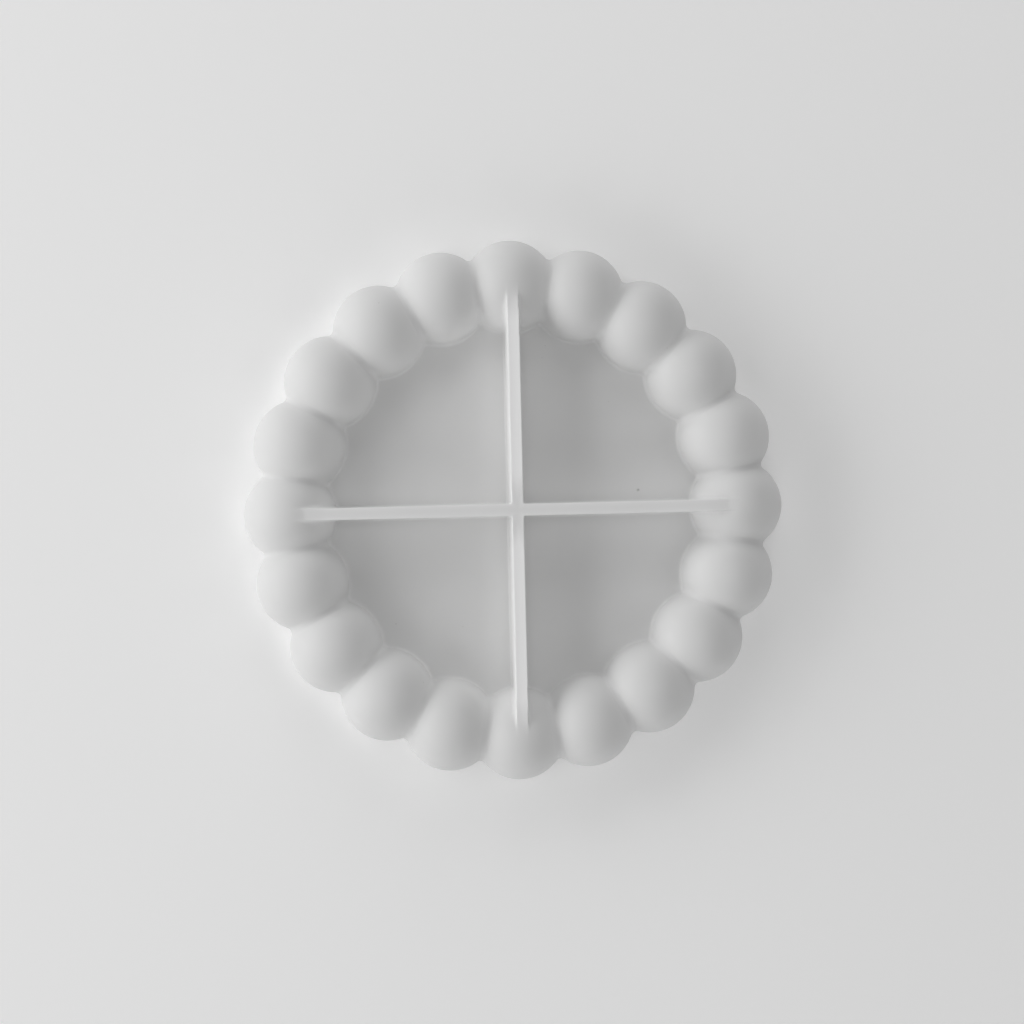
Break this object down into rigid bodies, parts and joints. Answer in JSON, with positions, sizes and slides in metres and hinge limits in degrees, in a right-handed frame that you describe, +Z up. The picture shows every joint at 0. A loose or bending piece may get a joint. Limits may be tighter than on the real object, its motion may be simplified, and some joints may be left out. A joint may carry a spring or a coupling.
{
  "type": "resin casting mould",
  "caption": "Round flexible silicone mould, closed side up, that casts a shallow tray with a scalloped bubble rim and crossed dividers.",
  "frame": {"origin": "centre of the pour rim, on the surface that the mould stands on", "axes": "+Z up through the closed side of the mould, +X and +Y along the two crossed dividers"},
  "size_m": [0.18, 0.18, 0.0233],
  "materials": {
    "silicone": "milky white platinum silicone, satin outside and glossier in the casting hollow"
  },
  "bodies": {
    "root": {"bubble_cup_01": "silicone", "bubble_cup_02": "silicone", "bubble_cup_03": "silicone", "bubble_cup_04": "silicone", "bubble_cup_05": "silicone", "bubble_cup_06": "silicone", "bubble_cup_07": "silicone", "bubble_cup_08": "silicone", "bubble_cup_09": "silicone", "bubble_cup_10": "silicone", "bubble_cup_11": "silicone", "bubble_cup_12": "silicone", "bubble_cup_13": "silicone", "bubble_cup_14": "silicone", "bubble_cup_15": "silicone", "bubble_cup_16": "silicone", "bubble_cup_17": "silicone", "bubble_cup_18": "silicone", "bubble_cup_19": "silicone", "bubble_cup_20": "silicone", "floor_panel_ne": "silicone", "floor_panel_nw": "silicone", "floor_panel_sw": "silicone", "floor_panel_se": "silicone", "divider_east": "silicone", "divider_north": "silicone", "divider_west": "silicone", "divider_south": "silicone", "divider_hub": "silicone", "pour_rim": "silicone"}
  },
  "joints": []
}
